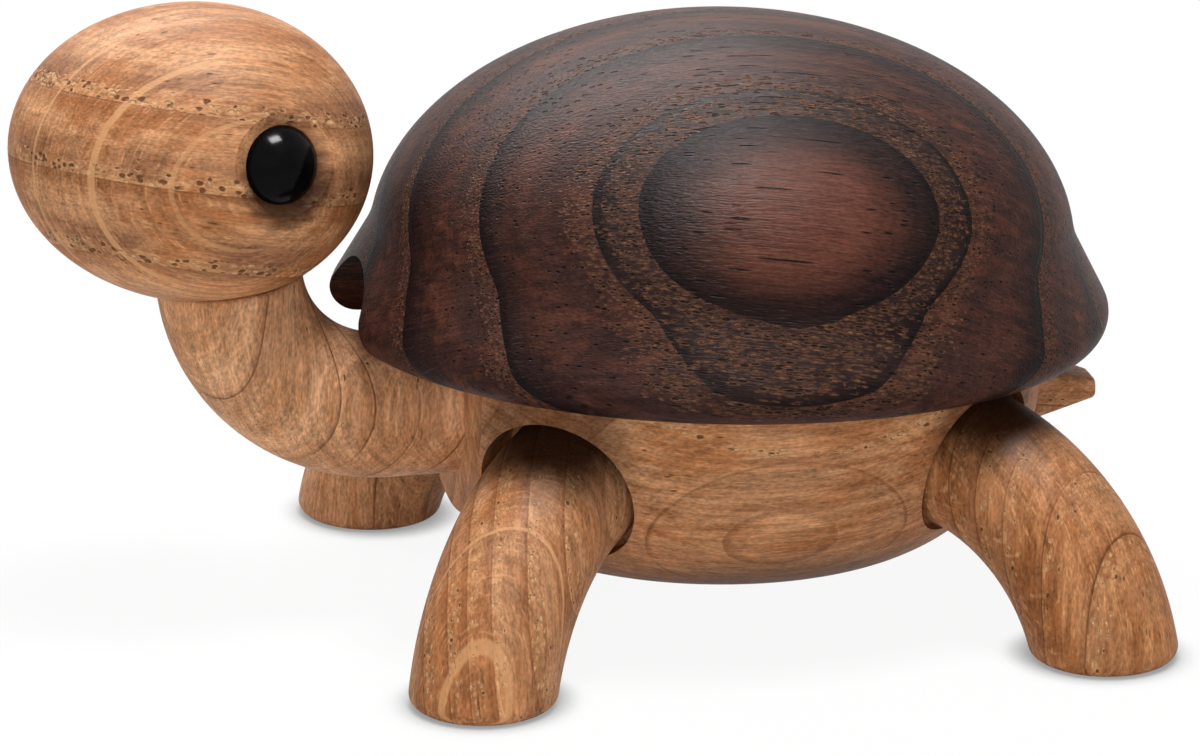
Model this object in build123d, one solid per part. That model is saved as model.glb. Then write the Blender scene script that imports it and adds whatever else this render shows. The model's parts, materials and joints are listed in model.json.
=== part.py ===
from build123d import *
from math import asin, atan2, cos, radians, sin, sqrt, tan
import os

# A turned oak tortoise. A dark domed shell sits on an oak torso, with an egg-shaped head on a bent
# neck, four bent legs and a short tail. The head and the legs turn on dowels gripped by rubber rings.
# The figure faces -X, its left side is -Y, Z is up and the soles stand on Z = 0. Lengths are in
# millimetres and angles in degrees. Everything is modelled about the middle of the stance, and moved
# along X at the end so that the origin lies under the middle of the whole figure.

# Stance
stance_length = 54.0  # front soles to rear soles
stance_width = 50.4  # left soles to right soles

# Shell
shell_length = 67.6
shell_width = 58.0
shell_offset = -0.9  # middle of the shell, from the middle of the stance
shell_pitch = 2.4  # the front is raised
rim_height = 23.4  # underside of the rim, at the middle of the shell
rim_round = 2.4  # outer edge of the rim
flare_slope = 61.0  # above level, from the rim to the waist
flare_height = 9.1  # underside of the rim to the waist
waist_round = 5.0  # hollow between flare and dome
dome_rise = 18.1  # waist to crown
dome_sink = 1.5  # middle of the dome's oval section, below the waist
notch_radius = 7.2  # arch over the neck
notch_drop = 0.4  # centre of the arch, below the underside of the rim
notch_depth = 10.6

# Torso
torso_length = 58.0
torso_width = 48.0
torso_depth = 19.4  # below the underside of the rim
torso_draft = 3.0  # the side leans in from the rim to the underside
torso_round = 16.0  # lower edge
neck_face_from_middle = 24.5  # flat for the neck
tail_face_from_middle = 25.6  # flat for the tail
boss_length = 40.0  # raised oval that fits in the shell
boss_width = 30.0
boss_height = 4.0

# Neck
neck_diameter = 12.5
neck_height = 18.4  # axis of the neck where it leaves the torso
neck_tuck = 4.4  # start of the bend, behind the front of the shell
neck_bend_radius = 13.3
neck_bend_angle = 85.4
neck_edge_round = 0.4

# Head
head_front = 16.4  # widest section to nose
head_rear = 14.6  # widest section to back
head_diameter = 25.4
head_pitch = 7.5  # the nose is raised
head_forward = 2.2  # widest section, in front of the pivot
head_rise = 11.25  # widest section, above the pivot

# Eyes
eye_diameter = 6.6
eye_dome = 1.8
eye_collar = 0.7  # straight part of the bead below its dome
eye_setback = 5.0  # behind the widest section of the head
eye_raise = 12.4  # round the axis of the head
eye_dish_diameter = 12.0
eye_dish_depth = 1.6
eye_stem_diameter = 2.4
eye_stem_length = 4.0

# Legs
leg_diameter = 12.5
leg_bend_radius = 19.4
leg_seat_slope = 9.5  # below level, where the leg leaves the torso
leg_sole_slope = 79.0  # below level, at the floor
leg_plan_angle = 47.0  # from the long axis, seen from above
leg_seat_round = 0.5
leg_sole_round = 1.1

# Tail
tail_reach = 6.9
tail_root_width = 9.0
tail_root_height = 4.8
tail_root_middle = 16.4  # above the floor
tail_tip_width = 3.6
tail_tip_height = 1.8
tail_tip_middle = 15.8  # above the floor
tail_edge_round = 0.8
tail_tip_round = 0.4

# Dowels and rubber rings
dowel_diameter = 5.0
dowel_half_length = 7.0
dowel_end_round = 0.6
tail_dowel_diameter = 3.0
tail_dowel_half_length = 4.0
shell_dowel_spacing = 18.0
ring_section = 1.0
ring_setback = 3.0  # from the face of the joint to the middle of the ring

# Clearances
glue_gap = 0.05  # between glued pieces
dowel_gap = 0.05  # round a dowel in its hole
ring_gap = 0.02  # round a ring in its groove and its hole
turning_gap = 0.2  # between faces that turn on each other
pocket_gap = 0.7  # round a leg in its pocket
hole_end_gap = 0.6  # past the end of a dowel or stem
overrun = 5.0  # how far a cutter runs past the surface

UPWARD = (Align.CENTER, Align.CENTER, Align.MIN)


def oval_block(length, width, height):
    """An upright oval block that stands on the middle of its foot."""
    return extrude(Ellipse(length / 2, width / 2), height)


# Frames that the pieces share
shell_frame = Pos(shell_offset, 0, rim_height) * Rot(0, shell_pitch, 0)
neck_face = Plane((-neck_face_from_middle, 0, neck_height), x_dir=(0, -1, 0), z_dir=(-1, 0, 0))
tail_face = Plane((tail_face_from_middle, 0, tail_root_middle), x_dir=(0, 1, 0), z_dir=(1, 0, 0))
neck_side = Plane(neck_face.origin, x_dir=(-1, 0, 0), z_dir=(0, 1, 0))
neck_straight = shell_length / 2 - shell_offset - neck_face_from_middle - neck_tuck
neck_run = Line((0, 0), (neck_straight, 0))
neck_bend = JernArc(neck_run @ 1, neck_run % 1, neck_bend_radius, neck_bend_angle)
neck_path = neck_side * (neck_run + neck_bend)
neck_top = Plane(neck_path @ 1, x_dir=(0, 1, 0), z_dir=neck_path % 1)
head_seat = neck_top.offset(turning_gap)
head_middle = neck_top.origin + Vector(-head_forward, 0, head_rise)
head_nose = Vector(-cos(radians(head_pitch)), 0, sin(radians(head_pitch)))
head_frame = Plane(head_middle, x_dir=head_nose, z_dir=Vector(0, 1, 0).cross(head_nose))

# Which end and which side each leg is on
leg_corners = {
    "front_left": (-1, -1),
    "front_right": (-1, 1),
    "rear_left": (1, -1),
    "rear_right": (1, 1),
}


def leg_side(corner):
    """The upright plane that a leg bends in, from the middle of its seat, X pointing outwards."""
    end, side = leg_corners[corner]
    angle, seat_slope, sole_slope = (radians(a) for a in (leg_plan_angle, leg_seat_slope, leg_sole_slope))
    outward = Vector(end * cos(angle), side * sin(angle), 0)
    reach = leg_bend_radius * (sin(sole_slope) - sin(seat_slope))
    drop = leg_bend_radius * (cos(seat_slope) - cos(sole_slope))
    sole = Vector(end * stance_length / 2, side * stance_width / 2, 0)
    seat = sole - outward * reach + Vector(0, 0, drop)
    return Plane(seat, x_dir=outward, z_dir=outward.cross(Vector(0, 0, 1)))


def leg_path(corner):
    """The middle line of a leg, from its seat to a little below the floor."""
    slope = radians(leg_seat_slope)
    bend = JernArc((0, 0), (cos(slope), -sin(slope)), leg_bend_radius, leg_seat_slope - leg_sole_slope)
    ending = Line(bend @ 1, bend @ 1 + (bend % 1) * (leg_diameter / 2))
    return leg_side(corner) * (bend + ending)


def leg_pivot(corner):
    """The seat of a leg, its normal pointing into the torso along the pivot."""
    path = leg_path(corner)
    return Plane(path @ 0, x_dir=leg_side(corner).z_dir, z_dir=(path % 0) * -1)


def eye_seat(side):
    """The bottom of an eye's dish in the frame of the head, its normal pointing outwards."""
    radius = head_diameter / 2
    turn = asin(eye_setback / head_rear)
    slope = atan2(sin(turn) * radius, cos(turn) * head_rear)
    lift = radians(eye_raise)
    outward = Vector(0, side * cos(lift), sin(lift))
    normal = outward * cos(slope) - Vector(sin(slope), 0, 0)
    surface = outward * (radius * cos(turn)) - Vector(eye_setback, 0, 0)
    return Plane(surface - normal * eye_dish_depth, z_dir=normal)


def shell_dowel_places():
    """The two dowels between torso and shell stand across the top of the boss."""
    return [Pos(end * shell_dowel_spacing / 2, 0, boss_height) for end in (-1, 1)]


def dowel(place, diameter, half_length):
    """A dowel across the face of a joint, with rounded ends."""
    pin = Cylinder(diameter / 2, 2 * half_length)
    return place * fillet(pin.edges(), dowel_end_round)


def dowel_hole(place, diameter, half_length):
    """The hole for a dowel, cut alike in the two pieces that it joins."""
    return place * Cylinder(diameter / 2 + dowel_gap, 2 * (half_length + hole_end_gap))


def turning_dowel(place):
    """A dowel with a groove for its rubber ring, along the normal of the joint's face."""
    ring_outside = dowel_diameter / 2 + dowel_gap - ring_gap
    groove_floor = ring_outside - ring_section - ring_gap
    groove = Cylinder(ring_outside, ring_section + 2 * ring_gap)
    groove -= Cylinder(groove_floor, ring_section + 2 * ring_gap)
    return place * (dowel(Pos(), dowel_diameter, dowel_half_length) - Pos(0, 0, ring_setback) * groove)


def friction_ring(place):
    """The rubber ring that grips the hole and holds the joint where it is put."""
    ring_outside = dowel_diameter / 2 + dowel_gap - ring_gap
    return place * Pos(0, 0, ring_setback) * Torus(ring_outside - ring_section / 2, ring_section / 2)


def shell_body():
    """The oval dome with its waist and flared rim, standing on the underside of the rim."""
    flare = radians(flare_slope)
    rim_corner = shell_length / 2 + rim_round * (1 / tan(flare / 2) - 1)
    waist_radius = rim_corner - flare_height / tan(flare)
    flare_top = (waist_radius - waist_round / tan(flare), flare_height + waist_round)
    edge = Polyline((0, 0), (rim_corner, 0), flare_top, (0, flare_height + waist_round), close=True)
    oval_rise = dome_rise + dome_sink
    oval_radius = waist_radius / sqrt(1 - (dome_sink / oval_rise) ** 2)
    oval = EllipticalCenterArc((0, flare_height - dome_sink), oval_radius, oval_rise, arc_size=90)
    oval_sides = Polyline(oval @ 1, (0, flare_height - dome_sink), oval @ 0)
    section = make_face(edge) + make_face(oval + oval_sides)
    waist = section.vertices().sort_by_distance((waist_radius, flare_height))[0]
    section = fillet(waist, waist_round)
    rim = section.vertices().sort_by_distance((rim_corner, 0))[0]
    section = fillet(rim, rim_round)
    turned = revolve(Plane.XZ * section, Axis.Z)
    return scale(turned, by=(1, shell_width / shell_length, 1))


def make_shell():
    pocket = oval_block(boss_length + 2 * glue_gap, boss_width + 2 * glue_gap, boss_height + glue_gap)
    arch_end = Pos(notch_depth - shell_length / 2, 0, -notch_drop) * Rot(0, -90, 0)
    arch = arch_end * Cylinder(notch_radius, notch_depth + overrun, align=UPWARD)
    shell = shell_body() - pocket - arch
    for place in shell_dowel_places():
        shell -= dowel_hole(place, dowel_diameter, dowel_half_length)
    return shell_frame * shell


def torso_body():
    """The oval bowl and the boss on top of it, hanging from the underside of the rim."""
    top_radius = torso_length / 2
    low_corner = (top_radius - torso_draft, -torso_depth)
    section = make_face(Polyline((0, 0), (0, -torso_depth), low_corner, (top_radius, 0), close=True))
    edge = section.vertices().sort_by_distance(low_corner)[0]
    turned = revolve(Plane.XZ * fillet(edge, torso_round), Axis.Z)
    torso = scale(turned, by=(1, torso_width / torso_length, 1))
    return torso + oval_block(boss_length, boss_width, boss_height)


def make_torso():
    torso = torso_body()
    for place in shell_dowel_places():
        torso -= dowel_hole(place, dowel_diameter, dowel_half_length)
    torso = shell_frame * torso
    for face in (neck_face, tail_face):
        torso = split(torso, bisect_by=face, keep=Keep.BOTTOM)
    torso -= dowel_hole(neck_face, dowel_diameter, dowel_half_length)
    torso -= dowel_hole(tail_face, tail_dowel_diameter, tail_dowel_half_length)
    for corner in leg_corners:
        pivot = leg_pivot(corner)
        pocket = Cylinder(leg_diameter / 2 + pocket_gap, leg_diameter, align=UPWARD)
        torso -= -pivot.offset(turning_gap) * pocket
        torso -= dowel_hole(pivot, dowel_diameter, dowel_half_length)
    return torso


def make_neck():
    neck = sweep(Plane(neck_path @ 0, z_dir=neck_path % 0) * Circle(neck_diameter / 2), neck_path)
    top = neck.faces().sort_by_distance(neck_top.origin)[0]
    neck = fillet(top.edges(), neck_edge_round)
    neck -= dowel_hole(neck_face, dowel_diameter, dowel_half_length)
    return neck - dowel_hole(neck_top, dowel_diameter, dowel_half_length)


def head_body():
    """The egg of the head about its own X axis, nose towards +X."""
    ball = Sphere(head_diameter / 2)
    nose = split(ball, bisect_by=Plane.YZ, keep=Keep.TOP)
    back = split(ball, bisect_by=Plane.YZ, keep=Keep.BOTTOM)
    stretched_nose = scale(nose, by=(2 * head_front / head_diameter, 1, 1))
    return stretched_nose + scale(back, by=(2 * head_rear / head_diameter, 1, 1))


def make_head():
    head = head_body()
    dish_radius = ((eye_dish_diameter / 2) ** 2 + eye_dish_depth**2) / (2 * eye_dish_depth)
    for side in (-1, 1):
        seat = eye_seat(side)
        head -= seat.offset(dish_radius) * Sphere(dish_radius)
        head -= seat * Cylinder(eye_diameter / 2 + glue_gap, eye_dish_depth, align=UPWARD)
        stem_hole = Cylinder(eye_stem_diameter / 2 + glue_gap, eye_stem_length + hole_end_gap, align=UPWARD)
        head -= -seat * stem_hole
    head = split(head_frame * head, bisect_by=head_seat, keep=Keep.TOP)
    return head - dowel_hole(neck_top, dowel_diameter, dowel_half_length)


def make_eye(side):
    radius = eye_diameter / 2
    dome_radius = (radius**2 + eye_dome**2) / (2 * eye_dome)
    bead = Pos(0, 0, eye_collar + eye_dome - dome_radius) * Sphere(dome_radius)
    bead &= Cylinder(radius, eye_collar + eye_dome, align=UPWARD)
    stem = -Plane.XY * Cylinder(eye_stem_diameter / 2, eye_stem_length, align=UPWARD)
    return head_frame * (eye_seat(side).offset(glue_gap) * (bead + stem))


def make_leg(corner):
    path = leg_path(corner)
    leg = sweep(Plane(path @ 0, z_dir=path % 0) * Circle(leg_diameter / 2), path)
    leg = split(leg, bisect_by=Plane.XY, keep=Keep.TOP)
    sole = leg.faces().sort_by(Axis.Z)[0]
    leg = fillet(sole.edges(), leg_sole_round)
    seat = leg.faces().sort_by_distance(path @ 0)[0]
    leg = fillet(seat.edges(), leg_seat_round)
    return leg - dowel_hole(leg_pivot(corner), dowel_diameter, dowel_half_length)


def make_tail():
    root = tail_face * RectangleRounded(tail_root_width, tail_root_height, tail_edge_round)
    tip_place = tail_face.offset(tail_reach) * Pos(0, tail_tip_middle - tail_root_middle, 0)
    tip = tip_place * RectangleRounded(tail_tip_width, tail_tip_height, tail_edge_round)
    tail = loft([root, tip])
    end = tail.faces().sort_by(Axis.X)[-1]
    tail = fillet(end.edges(), tail_tip_round)
    return tail - dowel_hole(tail_face, tail_dowel_diameter, tail_dowel_half_length)


# Every node, as a list of its solids
nodes = {
    "shell": [make_shell()],
    "torso": [make_torso()],
    "shell_dowels": [
        dowel(shell_frame * place, dowel_diameter, dowel_half_length) for place in shell_dowel_places()
    ],
    "neck": [make_neck()],
    "neck_dowel": [dowel(neck_face, dowel_diameter, dowel_half_length)],
    "tail": [make_tail()],
    "tail_dowel": [dowel(tail_face, tail_dowel_diameter, tail_dowel_half_length)],
    "head": [make_head()],
    "head_dowel": [turning_dowel(-neck_top)],
    "head_friction_ring": [friction_ring(-neck_top)],
    "left_eye": [make_eye(1)],
    "right_eye": [make_eye(-1)],
}
for corner in leg_corners:
    pivot = leg_pivot(corner)
    nodes[f"{corner}_leg"] = [make_leg(corner)]
    nodes[f"{corner}_leg_dowel"] = [turning_dowel(pivot)]
    nodes[f"{corner}_friction_ring"] = [friction_ring(pivot)]

box = Compound([solid for group in nodes.values() for solid in group]).bounding_box()
to_origin = Pos(-(box.min.X + box.max.X) / 2, 0, 0)

os.makedirs("parts", exist_ok=True)
for name, group in nodes.items():
    placed = [to_origin * solid for solid in group]
    export_step(placed[0] if len(placed) == 1 else Compound(placed), f"parts/{name}.step")
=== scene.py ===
import json
import math

import bmesh
import bpy
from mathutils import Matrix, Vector


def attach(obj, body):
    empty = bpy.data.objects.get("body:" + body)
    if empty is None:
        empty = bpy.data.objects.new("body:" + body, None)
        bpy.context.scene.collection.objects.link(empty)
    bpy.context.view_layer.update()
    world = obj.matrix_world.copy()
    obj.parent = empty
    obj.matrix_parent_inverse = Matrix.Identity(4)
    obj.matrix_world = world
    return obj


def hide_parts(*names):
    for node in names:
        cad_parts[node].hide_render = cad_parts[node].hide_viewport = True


# A turned oak turtle with a smoked oak shell, standing on a pale floor in soft studio light.
# It faces -X, its left side is -Y and its soles stand on Z = 0. Lengths are in metres, but the wood
# figure is laid out in millimetres.

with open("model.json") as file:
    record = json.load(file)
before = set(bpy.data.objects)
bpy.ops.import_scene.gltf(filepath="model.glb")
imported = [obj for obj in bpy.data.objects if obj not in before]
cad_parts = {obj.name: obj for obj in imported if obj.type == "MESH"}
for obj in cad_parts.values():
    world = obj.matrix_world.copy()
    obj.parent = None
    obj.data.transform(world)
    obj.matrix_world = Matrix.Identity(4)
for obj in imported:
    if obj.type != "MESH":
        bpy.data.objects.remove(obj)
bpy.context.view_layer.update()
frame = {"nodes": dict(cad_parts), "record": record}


def tone(red, green, blue):
    """A screen colour, 0 to 255 each, as the linear colour that a shader takes."""
    def linear(value):
        share = value / 255
        return share / 12.92 if share <= 0.04045 else ((share + 0.055) / 1.055) ** 2.4
    return (linear(red), linear(green), linear(blue), 1.0)


class Finish:
    """A node material in the making, with short calls for the nodes that the finishes share."""

    def __init__(self, name):
        self.material = bpy.data.materials.new(name)
        self.material.use_nodes = True
        self.tree = self.material.node_tree
        self.tree.nodes.clear()
        self.output = self.node("ShaderNodeOutputMaterial")

    def node(self, kind, **settings):
        made = self.tree.nodes.new(kind)
        for setting, value in settings.items():
            setattr(made, setting, value)
        return made

    def feed(self, socket, value):
        if isinstance(value, bpy.types.NodeSocket):
            self.tree.links.new(value, socket)
        else:
            socket.default_value = value

    def sum(self, operation, *values):
        made = self.node("ShaderNodeMath", operation=operation)
        for socket, value in zip(made.inputs, values):
            self.feed(socket, value)
        return made.outputs[0]

    def vector_sum(self, operation, *values):
        made = self.node("ShaderNodeVectorMath", operation=operation)
        for socket, value in zip(made.inputs, values):
            self.feed(socket, value)
        return made

    def place(self):
        """The place on the piece, in millimetres."""
        spot = self.node("ShaderNodeTexCoord").outputs["Object"]
        scaled = self.node("ShaderNodeVectorMath", operation="SCALE")
        self.feed(scaled.inputs[0], spot)
        scaled.inputs["Scale"].default_value = 1000.0
        return scaled.outputs[0]

    def along(self, place, direction):
        return self.vector_sum("DOT_PRODUCT", place, tuple(direction)).outputs["Value"]

    def triple(self, x, y, z):
        made = self.node("ShaderNodeCombineXYZ")
        for socket, value in zip(made.inputs, (x, y, z)):
            self.feed(socket, value)
        return made.outputs[0]

    def stretched(self, place, pitch):
        """The place divided by a pitch along each direction."""
        return self.vector_sum("DIVIDE", place, tuple(pitch)).outputs["Vector"]

    def noise(self, place, pitch, detail=2.0, roughness=0.5):
        made = self.node("ShaderNodeTexNoise")
        self.feed(made.inputs["Vector"], self.stretched(place, pitch))
        made.inputs["Scale"].default_value = 1.0
        made.inputs["Detail"].default_value = detail
        made.inputs["Roughness"].default_value = roughness
        return made.outputs["Fac"]

    def cells(self, place, pitch, ragged=0.0):
        """Distance to the nearest cell centre, and two random numbers for that cell."""
        if ragged:
            jolt = self.node("ShaderNodeTexNoise")
            self.feed(jolt.inputs["Vector"], self.stretched(place, (0.5, 0.34, 0.34)))
            jolt.inputs["Scale"].default_value = 1.0
            jolt.inputs["Detail"].default_value = 1.0
            middle = self.vector_sum("SUBTRACT", jolt.outputs["Color"], (0.5, 0.5, 0.5)).outputs["Vector"]
            place = self.vector_sum("MULTIPLY_ADD", middle, (ragged, ragged, ragged), place).outputs["Vector"]
        made = self.node("ShaderNodeTexVoronoi")
        self.feed(made.inputs["Vector"], self.stretched(place, pitch))
        made.inputs["Scale"].default_value = 1.0
        parted = self.node("ShaderNodeSeparateColor")
        self.feed(parted.inputs[0], made.outputs["Color"])
        return made.outputs["Distance"], parted.outputs["Red"], parted.outputs["Green"]

    def fade(self, value, start, end, first=0.0, last=1.0):
        """A smooth change from first to last while the value goes from start to end."""
        made = self.node("ShaderNodeMapRange", interpolation_type="SMOOTHSTEP")
        for socket, given in zip(made.inputs, (value, start, end, first, last)):
            self.feed(socket, given)
        return made.outputs[0]

    def blend(self, share, first, second, kind="MIX"):
        made = self.node("ShaderNodeMix", data_type="RGBA", blend_type=kind)
        self.feed(made.inputs[0], share)
        self.feed(made.inputs[6], first)
        self.feed(made.inputs[7], second)
        return made.outputs[2]

    def surface(self, colour, roughness, height=None, depth=0.0001, strength=1.0, specular=0.5):
        shader = self.node("ShaderNodeBsdfPrincipled")
        self.feed(shader.inputs["Base Color"], colour)
        self.feed(shader.inputs["Roughness"], roughness)
        shader.inputs["Specular IOR Level"].default_value = specular
        if height is not None:
            bump = self.node("ShaderNodeBump")
            bump.inputs["Distance"].default_value = depth
            bump.inputs["Strength"].default_value = strength
            self.feed(bump.inputs["Height"], height)
            self.feed(shader.inputs["Normal"], bump.outputs[0])
        self.feed(self.output.inputs["Surface"], shader.outputs[0])
        return self.material


OAK = {
    "pale": tone(212, 156, 112),
    "mid": tone(176, 116, 74),
    "late": tone(142, 84, 48),
    "line": tone(102, 54, 27),
    "grey": tone(146, 97, 68),
    "light_pore": tone(228, 178, 128),
    "dark_pore": tone(104, 58, 32),
    "ray": tone(226, 170, 120),
    "hair": tone(134, 80, 46),
    # colour of the painted shade round the shade spots
    "painted_shade": tone(40, 18, 8),
    "roughness": 0.5,
    "specular": 0.07,
    "depth": 0.0002,
}
SMOKED = {
    "pale": tone(92, 54, 42),
    "mid": tone(53, 32, 28),
    "late": tone(27, 18, 18),
    "line": tone(17, 12, 12),
    "grey": tone(47, 33, 31),
    "light_pore": tone(122, 82, 60),
    "dark_pore": tone(16, 10, 9),
    "ray": tone(84, 55, 46),
    "hair": tone(18, 11, 10),
    "heart": tone(98, 57, 44),
    "roughness": 0.42,
    "specular": 0.05,
    "depth": 0.00036,
}

PALE_OAK = dict(OAK, pale=tone(226, 172, 130), mid=tone(194, 138, 96), late=tone(158, 102, 64))
RUSSET_OAK = dict(OAK, pale=tone(196, 138, 92), mid=tone(160, 101, 60), late=tone(130, 74, 40))


def wood(name, ring_normal, edges, ray_normal=None, grain=None, rays=(), palette=OAK, waver=0.4,
         pore_band=1.4, pore_pitch=0.36, pore_length=1.0, pore_radius=0.42, pore_share=0.8, light_share=0.5,
         pore_rows=(), line_share=0.6, line_width=0.26, late_share=0.4, late_width=1.2, hair_share=0.3,
         hair_pitch=(24, 0.7, 0.7), hair_radius=0.14, patch_share=0.4, heart=None, shade_spots=()):
    """Ring-porous wood in solid form. A growth ring begins at each edge along ring_normal with a band
    of open pores, and ends in dense dark wood. Rays are sheets across ray_normal. Pore rows are sagging
    bands of pores. Painted shade darkens the colour round the shade spots."""
    across_rings = Vector(ring_normal).normalized()
    if ray_normal is None:
        across_rays = Vector(grain).cross(across_rings).normalized()
    else:
        across_rays = Vector(ray_normal).normalized()
    with_grain = across_rings.cross(across_rays).normalized()
    make = Finish(name)
    place = make.place()
    grain_run = make.along(place, with_grain)
    ray_run = make.along(place, across_rays)
    ring_run = make.along(place, across_rings)
    solid = make.triple(grain_run, ray_run, ring_run)

    # growth rings, a little wavy
    drift = make.noise(solid, (26, 14, 14), detail=1.0)
    ripple = make.noise(solid, (4, 1.2, 1.2), detail=2.0)
    sway = make.sum("MULTIPLY", make.sum("SUBTRACT", drift, 0.5), 2.4 * waver)
    sway = make.sum("MULTIPLY_ADD", make.sum("SUBTRACT", ripple, 0.5), 0.3 * waver, sway)
    wavy = make.sum("ADD", ring_run, sway)
    from_edge = make.sum("SUBTRACT", wavy, edges[0])
    ring_width = edges[1] - edges[0]
    for number in range(1, len(edges) - 1):
        passed = make.sum("GREATER_THAN", wavy, edges[number])
        gap = edges[number] - edges[number - 1]
        next_gap = edges[number + 1] - edges[number]
        from_edge = make.sum("MULTIPLY_ADD", passed, -gap, from_edge)
        ring_width = make.sum("MULTIPLY_ADD", passed, next_gap - gap, ring_width)
    to_edge = make.sum("SUBTRACT", ring_width, from_edge)
    early = make.fade(from_edge, 0.3 * pore_band, pore_band, 1.0, 0.0)
    late = make.fade(to_edge, late_width, 0.1)
    uneven = make.noise(solid, (18, 9, 2.2), detail=1.0)
    line = make.fade(to_edge, line_width, 0.04)
    line = make.sum("MULTIPLY", line, make.fade(uneven, 0.36, 0.56, 0.35, 1.0))

    # open pores, drawn out along the grain, some catching the light and some dark
    crowd = make.sum("MULTIPLY", early, pore_share)
    for middle, rise, bend, half_width, row_share in pore_rows:
        from_middle = make.sum("SUBTRACT", make.along(place, (1.0, 0.0, 0.0)), middle)
        sag = make.sum("MULTIPLY", make.sum("MULTIPLY", from_middle, from_middle), -bend)
        off = make.sum("ADD", make.sum("ADD", make.along(place, (0.0, 0.0, 1.0)), sag), sway)
        off = make.sum("ABSOLUTE", make.sum("SUBTRACT", off, rise))
        crowd = make.sum("MAXIMUM", crowd, make.fade(off, 0.3 * half_width, half_width, row_share, 0.0))
    pore_cell = (pore_length, pore_pitch, pore_pitch)
    distance, chance, shade = make.cells(solid, pore_cell, ragged=0.55 * pore_pitch)
    distance = make.sum("DIVIDE", distance, make.fade(shade, 0.0, 1.0, 0.7, 1.25))
    present = make.fade(make.sum("SUBTRACT", chance, crowd), -0.02, 0.02, 1.0, 0.0)
    present = make.sum("MULTIPLY", present, make.fade(crowd, 0.02, 0.1))
    core = make.sum("MULTIPLY", make.fade(distance, 0.5 * pore_radius, pore_radius, 1.0, 0.0), present)
    rim = make.sum("MULTIPLY", make.fade(distance, pore_radius, 1.7 * pore_radius, 1.0, 0.0), present)
    lottery = make.sum("FRACT", make.sum("MULTIPLY", chance, 23.0))
    lit = make.fade(lottery, light_share - 0.05, light_share + 0.05, 1.0, 0.0)
    dark = make.sum("SUBTRACT", 1.0, lit)

    # thin single vessels between the bands
    hair_distance, hair_chance, _ = make.cells(solid, hair_pitch)
    hair = make.sum("MULTIPLY", make.fade(hair_distance, 0.45 * hair_radius, hair_radius, 1.0, 0.0),
                    make.fade(hair_chance, hair_share, hair_share + 0.02, 1.0, 0.0))

    # fibres, speckle, ray tissue, thin layers and slow change of colour
    fibre = make.noise(solid, (1.9, 0.17, 0.17), detail=2.0)
    speckle = make.noise(solid, (0.45, 0.22, 0.22), detail=2.0)
    mottle = make.noise(solid, (2.2, 1.0, 1.0), detail=2.0)
    cloud = make.noise(solid, (16, 6, 6), detail=2.0)
    streak = make.noise(solid, (20, 0.9, 0.9), detail=2.0)
    veil = make.noise(solid, (12, 0.34, 7), detail=1.5)
    layer = make.noise(solid, (22, 7, 0.34), detail=1.0)
    fleck = make.noise(solid, (1.3, 0.13, 2.4), detail=1.0)

    mixed = make.sum("MULTIPLY_ADD", streak, 0.4, make.sum("MULTIPLY", cloud, 0.6))
    colour = make.blend(make.fade(mixed, 0.39, 0.6), palette["mid"], palette["pale"])
    colour = make.blend(make.sum("MULTIPLY", late, late_share), colour, palette["late"])
    if heart is not None:
        warm = make.fade(ring_run, heart[0], heart[1], 0.9, 0.0)
        warm = make.sum("MULTIPLY", warm, make.fade(grain_run, heart[2], heart[3]))
        colour = make.blend(warm, colour, palette["heart"])
    patch = make.fade(from_edge, pore_band, 2.8 * pore_band, patch_share, 0.0)
    patch = make.sum("MULTIPLY", patch, make.fade(cloud, 0.42, 0.56))
    colour = make.blend(patch, colour, palette["grey"])
    colour = make.blend(make.fade(fleck, 0.58, 0.74, 0.0, 0.45), colour, palette["ray"])
    colour = make.blend(make.sum("MULTIPLY", line, line_share), colour, palette["line"])
    colour = make.blend(make.sum("MULTIPLY", hair, 0.9), colour, palette["hair"])
    brightness = make.fade(fibre, 0.25, 0.75, 0.82, 1.16)
    brightness = make.sum("ADD", brightness, make.fade(speckle, 0.25, 0.75, -0.2, 0.2))
    brightness = make.sum("ADD", brightness, make.fade(mottle, 0.3, 0.7, -0.07, 0.06))
    brightness = make.sum("ADD", brightness, make.fade(veil, 0.3, 0.7, -0.14, 0.12))
    brightness = make.sum("ADD", brightness, make.fade(layer, 0.3, 0.7, -0.1, 0.1))
    colour = make.blend(1.0, colour, make.triple(brightness, brightness, brightness), kind="MULTIPLY")
    colour = make.blend(make.sum("MULTIPLY", rim, 0.4), colour, palette["light_pore"])
    lit_core = make.sum("MULTIPLY", core, lit)
    dark_core = make.sum("MULTIPLY", core, dark)
    colour = make.blend(make.sum("MULTIPLY", lit_core, 0.75), colour, palette["light_pore"])
    colour = make.blend(make.sum("MULTIPLY", dark_core, 0.9), colour, palette["dark_pore"])

    # single ray sheets that the surface cuts as long arcs
    sheet = None
    ray_wavy = make.sum("MULTIPLY_ADD", make.sum("SUBTRACT", ripple, 0.5), 0.16, ray_run)
    for spot, half_width, strength, fade_start, fade_end in rays:
        off = make.sum("ABSOLUTE", make.sum("SUBTRACT", ray_wavy, spot))
        one = make.fade(off, half_width * 0.5, half_width, strength, 0.0)
        one = make.sum("MULTIPLY", one, make.fade(grain_run, fade_start, fade_end, 1.0, 0.0))
        sheet = one if sheet is None else make.sum("MAXIMUM", sheet, one)
    if sheet is not None:
        colour = make.blend(sheet, colour, palette["ray"])

    # painted shade round the shade spots, where shade falls on the figure
    for spot, inner, outer, share in shade_spots:
        reach = make.vector_sum("DISTANCE", place, tuple(spot)).outputs["Value"]
        reach = make.sum("MULTIPLY_ADD", make.sum("SUBTRACT", mottle, 0.5), 1.6, reach)
        colour = make.blend(make.fade(reach, inner, outer, share, 0.0), colour, palette["painted_shade"])

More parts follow.
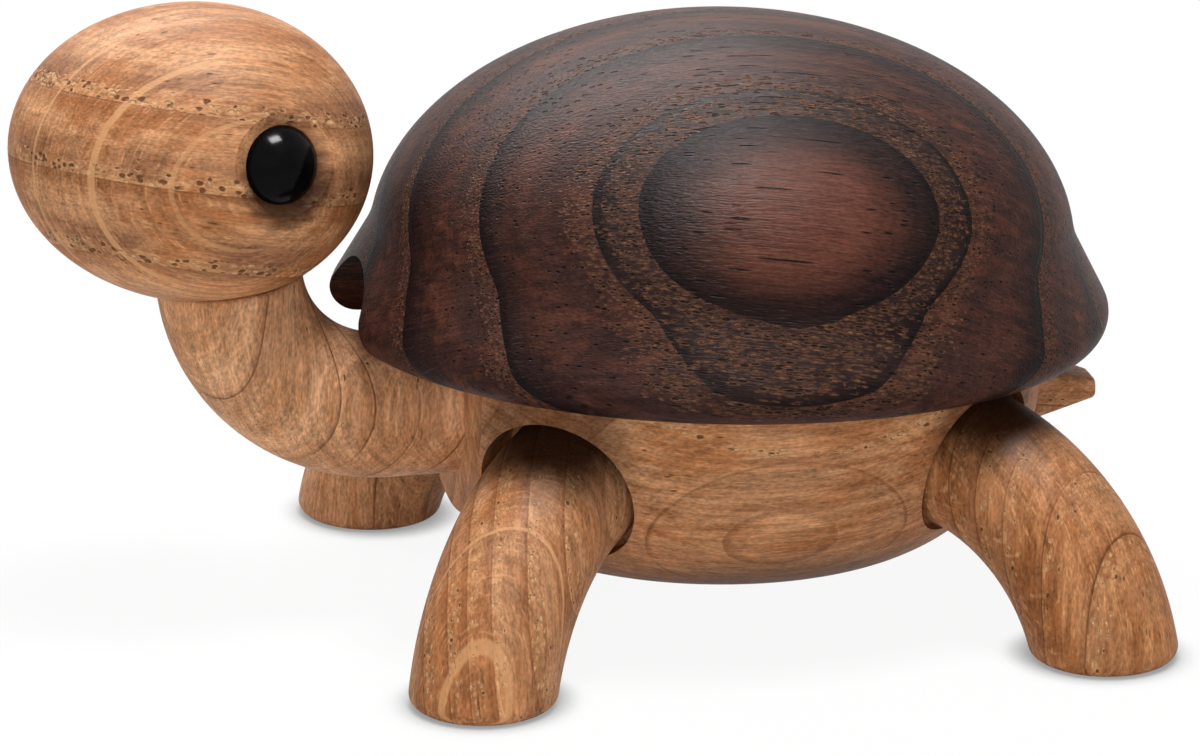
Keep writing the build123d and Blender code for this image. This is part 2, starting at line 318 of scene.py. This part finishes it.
    satin = make.fade(fibre, 0.3, 0.7, palette["roughness"] - 0.05, palette["roughness"] + 0.06)
    roughness = make.sum("MULTIPLY_ADD", core, 0.25, satin)
    height = make.sum("MULTIPLY_ADD", core, -1.0, make.sum("MULTIPLY", fibre, 0.25))
    height = make.sum("MULTIPLY_ADD", hair, -0.6, height)
    height = make.sum("MULTIPLY_ADD", line, -0.2, height)
    return make.surface(colour, roughness, height, depth=palette["depth"], strength=0.9,
                        specular=palette["specular"])


NO_FADE = (500.0, 600.0)

# painted shade where shade falls, in millimetres: spot, full to, gone at, share
FRONT_SEAT, REAR_SEAT, SEAT_OUT = -4.5, 33.5, 17.0


def leg_top_shade(forward, side):
    """Painted shade on the top of a leg under the shell's rim, on the given side of the middle."""
    return ((forward, side * SEAT_OUT, 22.0), 4.0, 10.0, 0.95)


def pocket_shade(forward, side):
    """Painted shade on the torso round a leg's pocket, where the leg meets it."""
    return ((forward, side * SEAT_OUT, 20.0), 5.0, 9.0, 0.6)


def eye_dish_shade(side):
    """Painted shade in an eye dish, round the bead."""
    return ((-26.0, side * 10.8, 42.2), 3.0, 5.0, 0.85)


# painted shade under the belly and at the back of the head
BELLY_SHADE = ((15.0, -4.0, -20.0), 27.5, 35.0, 0.72)
NAPE_SHADE = ((-16.0, -5.0, 41.5), 2.0, 9.5, 0.35)

shell_wood = wood(
    "smoked_oak_shell", (-0.028, 0.811, -0.584),
    [-48.0, -40.37, -38.89, -32.95, -25.95, -19.4, -13.1, -6.9, -0.6, 5.4, 12.0],
    grain=(0.988, -0.09, -0.127), palette=SMOKED, waver=0.3, pore_band=1.7, pore_pitch=0.26, pore_length=0.95,
    pore_share=0.9, light_share=0.5, line_share=0.8, line_width=0.5, late_share=0.95, late_width=3.4,
    hair_share=0.8, hair_pitch=(17, 0.56, 0.56), hair_radius=0.22, patch_share=0.8,
    heart=(-42.5, -40.9, -2.0, 9.0))
# the head's shade spots are painted shade in the eye dishes and at the back of the head
head_wood = wood(
    "oak_head", (0.188, 0.150, 0.971), [12.0, 19.6, 25.9, 32.7, 39.1, 58.0, 70.0],
    ray_normal=(0.135, -0.991, 0.023),
    rays=((-0.39, 0.17, 0.6, -51.0, -47.5), (4.65, 0.28, 0.7, -44.5, -40.0), (8.2, 0.11, 0.4, -40.0, -35.0)),
    waver=0.3, pore_band=1.6, pore_pitch=0.5, pore_length=0.8, pore_radius=0.5, pore_share=0.85,
    light_share=0.35, line_share=0.35, late_share=0.5, late_width=2.0, patch_share=0.85,
    shade_spots=(eye_dish_shade(-1), eye_dish_shade(1), NAPE_SHADE))
neck_wood = wood(
    "oak_neck", (0.772, 0.601, -0.204),
    [-48.0, -41.5, -35.9, -30.29, -23.83, -21.34, -18.31, -14.9, -10.0, -4.0, 3.0],
    grain=(0.1, 0.2, 0.97), palette=PALE_OAK, waver=0.18, pore_band=0.8, pore_share=0.2, light_share=0.75,
    line_share=0.7, line_width=0.2, late_share=0.3, late_width=1.2)
# the torso's shade spots are painted shade under the belly and round the leg pockets
torso_wood = wood(
    "oak_torso", (-0.015, 0.862, 0.507),
    [-18.0, -12.52, -10.98, -6.4, -1.2, 4.4, 10.6, 16.2, 22.0, 28.4, 35.0],
    grain=(1.0, 0.02, 0.0), waver=0.25, pore_band=0.7, pore_pitch=0.46, pore_share=0.06, light_share=0.45,
    pore_rows=((17.5, 19.2, 0.0175, 0.6, 0.85),), line_share=0.45, line_width=0.16, late_share=0.1,
    late_width=0.5, shade_spots=(BELLY_SHADE, pocket_shade(FRONT_SEAT, -1), pocket_shade(REAR_SEAT, -1),
                          pocket_shade(FRONT_SEAT, 1), pocket_shade(REAR_SEAT, 1)))
# the legs' shade spots are painted shade on their tops, under the shell's rim
front_left_wood = wood(
    "oak_front_left_leg", (0.914, -0.385, 0.13),
    [-14.0, -8.6, -5.4, -3.0, -1.2, 0.9, 3.74, 6.6, 9.4, 12.5, 16.0, 22.0],
    ray_normal=(-0.304, -0.937, 0.171), rays=((28.88, 0.13, 0.6) + NO_FADE, (33.0, 0.2, 0.55) + NO_FADE),
    waver=0.25, pore_band=1.5, pore_length=0.55, pore_share=0.55, light_share=0.85, line_share=0.35,
    late_share=0.45, shade_spots=(leg_top_shade(FRONT_SEAT, -1),))
rear_left_wood = wood(
    "oak_rear_left_leg", (0.606, -0.794, 0.041), [20.0, 27.2, 31.6, 34.5, 37.03, 39.67, 43.42, 47.45, 62.0],
    grain=(0.05, 0.1, 0.99), palette=RUSSET_OAK, waver=0.2, pore_band=1.8, pore_length=0.6,
    pore_share=0.35, light_share=0.8, line_share=0.65, line_width=0.2, late_share=0.35,
    shade_spots=(leg_top_shade(REAR_SEAT, -1),))
front_right_wood = wood(
    "oak_front_right_leg", (0.9, 0.38, 0.1), [-26.0, -19.8, -13.4, -9.2, -4.6, 0.2, 4.4, 9.0, 14.0, 20.0],
    grain=(0.05, -0.12, 0.99), waver=0.25, pore_band=1.2, pore_length=0.7, pore_share=0.4, light_share=0.7,
    line_share=0.8, shade_spots=(leg_top_shade(FRONT_SEAT, 1),))
rear_right_wood = wood(
    "oak_rear_right_leg", (0.55, 0.83, 0.05), [18.0, 25.0, 29.4, 33.2, 37.6, 41.4, 45.0, 49.4, 54.0, 60.0],
    grain=(0.02, -0.08, 0.99), waver=0.25, pore_band=1.6, pore_length=0.7, pore_share=0.45, light_share=0.7,
    line_share=0.7, shade_spots=(leg_top_shade(REAR_SEAT, 1),))
tail_wood = wood(
    "oak_tail", (0.1, 0.3, 0.95), [2.0, 8.0, 11.6, 14.9, 17.6, 20.5, 25.0, 30.0],
    grain=(0.97, 0.1, -0.2), waver=0.25, pore_band=0.9, pore_share=0.4)
dowel_wood = wood(
    "beech_dowel", (0.2, 0.9, 0.35),
    [-60.0, -44.0, -33.0, -24.0, -16.0, -9.0, -2.0, 5.0, 13.0, 22.0, 34.0, 50.0],
    grain=(0.9, -0.2, 0.3), waver=0.4, pore_band=0.6, pore_share=0.15, line_share=0.2, hair_share=0.2)


def black_bead():
    """Glossy black lacquer with a faint unevenness."""
    make = Finish("black_bead")
    place = make.place()
    cloud = make.noise(place, (1.4, 1.4, 1.4), detail=2.0)
    dust = make.noise(place, (0.12, 0.12, 0.12), detail=1.0)
    colour = make.blend(make.fade(cloud, 0.3, 0.7), tone(5, 5, 5), tone(11, 10, 11))
    roughness = make.sum("ADD", make.fade(cloud, 0.3, 0.7, 0.12, 0.16), make.fade(dust, 0.6, 0.75, 0.0, 0.06))
    return make.surface(colour, roughness, cloud, depth=0.00003, strength=0.15, specular=0.05)


def ring_rubber():
    """Soft black rubber with a bloom."""
    make = Finish("ring_rubber")
    place = make.place()
    bloom = make.noise(place, (0.8, 0.8, 0.8), detail=3.0)
    pits = make.noise(place, (0.09, 0.09, 0.09), detail=1.0)
    colour = make.blend(make.fade(bloom, 0.3, 0.7), tone(28, 27, 26), tone(50, 48, 46))
    return make.surface(colour, make.fade(bloom, 0.3, 0.7, 0.6, 0.8), pits, depth=0.00003, strength=0.5)


bead_black = black_bead()
rubber = ring_rubber()


def body_of_node(node):
    bodies = frame["record"]["behaviour"]["bodies"]
    return next(body for body, members in bodies.items() if node in members)


def smooth_piece(node, finish, crease):
    """A copy of a turned piece with its facets joined and shaded smooth up to the crease angle."""
    shape = bmesh.new()
    shape.from_mesh(frame["nodes"][node].data)
    bmesh.ops.remove_doubles(shape, verts=shape.verts, dist=0.000002)
    mesh = bpy.data.meshes.new(node + "_smooth")
    shape.to_mesh(mesh)
    shape.free()
    for name in ("custom_normal", "sharp_face", "sharp_edge"):
        if name in mesh.attributes:
            mesh.attributes.remove(mesh.attributes[name])
    mesh.shade_smooth()
    mesh.set_sharp_from_angle(angle=math.radians(crease))
    mesh.materials.clear()
    mesh.materials.append(finish)
    piece = bpy.data.objects.new(node + "_smooth", mesh)
    bpy.context.scene.collection.objects.link(piece)
    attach(piece, body_of_node(node))
    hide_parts(node)
    return piece


WOOD_CREASE, BEAD_CREASE = 32, 40
smooth_piece("shell", shell_wood, WOOD_CREASE)
for node, finish in (("torso", torso_wood), ("neck", neck_wood), ("head", head_wood), ("tail", tail_wood)):
    smooth_piece(node, finish, WOOD_CREASE)
for node in ("left_eye", "right_eye"):
    smooth_piece(node, bead_black, BEAD_CREASE)
for node, finish in (("front_left_leg", front_left_wood), ("rear_left_leg", rear_left_wood),
                     ("front_right_leg", front_right_wood), ("rear_right_leg", rear_right_wood)):
    smooth_piece(node, finish, WOOD_CREASE)

for node, piece in frame["nodes"].items():
    if node.endswith("dowel") or node.endswith("dowels"):
        piece.data.materials.clear()
        piece.data.materials.append(dowel_wood)
    elif node.endswith("ring"):
        piece.data.materials.clear()
        piece.data.materials.append(rubber)


def pale_floor():
    """A white sweep. It looks white to the camera and keeps a faint soft shadow under the soles, with a
    painted contact shadow darkening its glow close round the soles.
    """
    shape = bmesh.new()
    bmesh.ops.create_grid(shape, x_segments=2, y_segments=2, size=3.0)
    mesh = bpy.data.meshes.new("floor")
    shape.to_mesh(mesh)
    shape.free()
    make = Finish("white_sweep")
    paper = make.node("ShaderNodeBsdfDiffuse")
    grain = make.noise(make.place(), (3.0, 3.0, 3.0), detail=3.0)
    # painted shadow: ambient occlusion darkens the white glow close round the soles
    close = make.node("ShaderNodeAmbientOcclusion", samples=8)
    close.inputs["Distance"].default_value = 0.0032
    painted_contact_shadow = make.fade(close.outputs["AO"], 0.3, 0.95, 0.35, 1.0)
    glow = make.node("ShaderNodeEmission")
    make.feed(glow.inputs["Color"], make.triple(painted_contact_shadow, painted_contact_shadow, painted_contact_shadow))
    glow.inputs["Strength"].default_value = 1.0
    path = make.node("ShaderNodeLightPath")
    seen = make.sum("MAXIMUM", path.outputs["Is Camera Ray"], path.outputs["Is Glossy Ray"])
    seen = make.sum("MAXIMUM", seen, path.outputs["Is Transmission Ray"])
    weave = make.blend(grain, tone(204, 204, 203), tone(212, 212, 211))
    make.feed(paper.inputs["Color"], make.blend(seen, weave, tone(250, 250, 250)))
    mixed = make.node("ShaderNodeMixShader")
    make.feed(mixed.inputs[0], make.sum("MULTIPLY", seen, 0.92))
    make.feed(mixed.inputs[1], paper.outputs[0])
    make.feed(mixed.inputs[2], glow.outputs[0])
    make.feed(make.output.inputs["Surface"], mixed.outputs[0])
    mesh.materials.append(make.material)
    floor = bpy.data.objects.new("floor", mesh)
    bpy.context.scene.collection.objects.link(floor)


def white_room():
    """Even white light from all round, white where it is seen."""
    world = bpy.data.worlds.new("white_room")
    bpy.context.scene.world = world
    world.use_nodes = True
    tree = world.node_tree
    tree.nodes.clear()
    output = tree.nodes.new("ShaderNodeOutputWorld")
    background = tree.nodes.new("ShaderNodeBackground")
    path = tree.nodes.new("ShaderNodeLightPath")
    strength = tree.nodes.new("ShaderNodeMapRange")
    strength.inputs["To Min"].default_value = 0.14
    strength.inputs["To Max"].default_value = 1.0
    background.inputs["Color"].default_value = (1.0, 1.0, 1.0, 1.0)
    first = tree.nodes.new("ShaderNodeMath")
    second = tree.nodes.new("ShaderNodeMath")
    first.operation = second.operation = "MAXIMUM"
    tree.links.new(path.outputs["Is Camera Ray"], first.inputs[0])
    tree.links.new(path.outputs["Is Glossy Ray"], first.inputs[1])
    tree.links.new(first.outputs[0], second.inputs[0])
    tree.links.new(path.outputs["Is Transmission Ray"], second.inputs[1])
    tree.links.new(second.outputs[0], strength.inputs["Value"])
    tree.links.new(strength.outputs["Result"], background.inputs["Strength"])
    tree.links.new(background.outputs[0], output.inputs["Surface"])


def softbox(name, spot, aim, size, power, lights=True, shines=True):
    """A square of soft light. One that doesn't light only shows in gloss, and one that doesn't shine
    leaves no highlight there."""
    light = bpy.data.lights.new(name, "AREA")
    light.shape = "RECTANGLE"
    light.size, light.size_y = size
    light.energy = power
    lamp = bpy.data.objects.new(name, light)
    lamp.location = spot
    lamp.visible_diffuse = lights
    lamp.visible_glossy = shines
    lamp.rotation_euler = (Vector(aim) - Vector(spot)).to_track_quat("-Z", "Y").to_euler()
    bpy.context.scene.collection.objects.link(lamp)


# focal length and width of the photo, in its pixels, and the film's width in millimetres
FOCAL_PIXELS, PHOTO_WIDTH, FILM_WIDTH = 8138, 1200, 36.0


def photo_camera():
    """A long lens, a little above the turtle and in front of its left side."""
    aim = Vector((0.003137, 0.0, 0.01938))
    swing, rise, reach = math.radians(12.5), math.radians(18.35), 0.700
    look = Vector((math.sin(swing) * math.cos(rise), math.cos(swing) * math.cos(rise), -math.sin(rise)))
    lens = bpy.data.cameras.new("photo_camera")
    lens.sensor_width = FILM_WIDTH
    lens.lens = FOCAL_PIXELS / PHOTO_WIDTH * FILM_WIDTH
    camera = bpy.data.objects.new("photo_camera", lens)
    camera.location = aim - look * reach
    camera.rotation_euler = look.to_track_quat("-Z", "Y").to_euler()
    bpy.context.scene.collection.objects.link(camera)
    bpy.context.scene.camera = camera


FIGURE_MIDDLE = (0.0, 0.0, 0.03)

pale_floor()
white_room()
softbox("top_softbox", (0.04, -0.14, 0.75), FIGURE_MIDDLE, (0.26, 0.2), 4.6)
softbox("front_softbox", (-0.3, -0.92, 0.26), FIGURE_MIDDLE, (0.9, 0.24), 3.2, shines=False)
softbox("rear_softbox", (-0.3, 0.5, 0.72), FIGURE_MIDDLE, (0.3, 0.3), 2.6)
softbox("eye_catchlight", (0.08, -0.17, 0.72), FIGURE_MIDDLE, (0.3, 0.18), 15.0, lights=False)
softbox("crown_catchlight", (-0.05, 0.6, 0.7), FIGURE_MIDDLE, (0.7, 0.25), 16.0, lights=False)
photo_camera()
bpy.context.scene.view_settings.view_transform = "Standard"
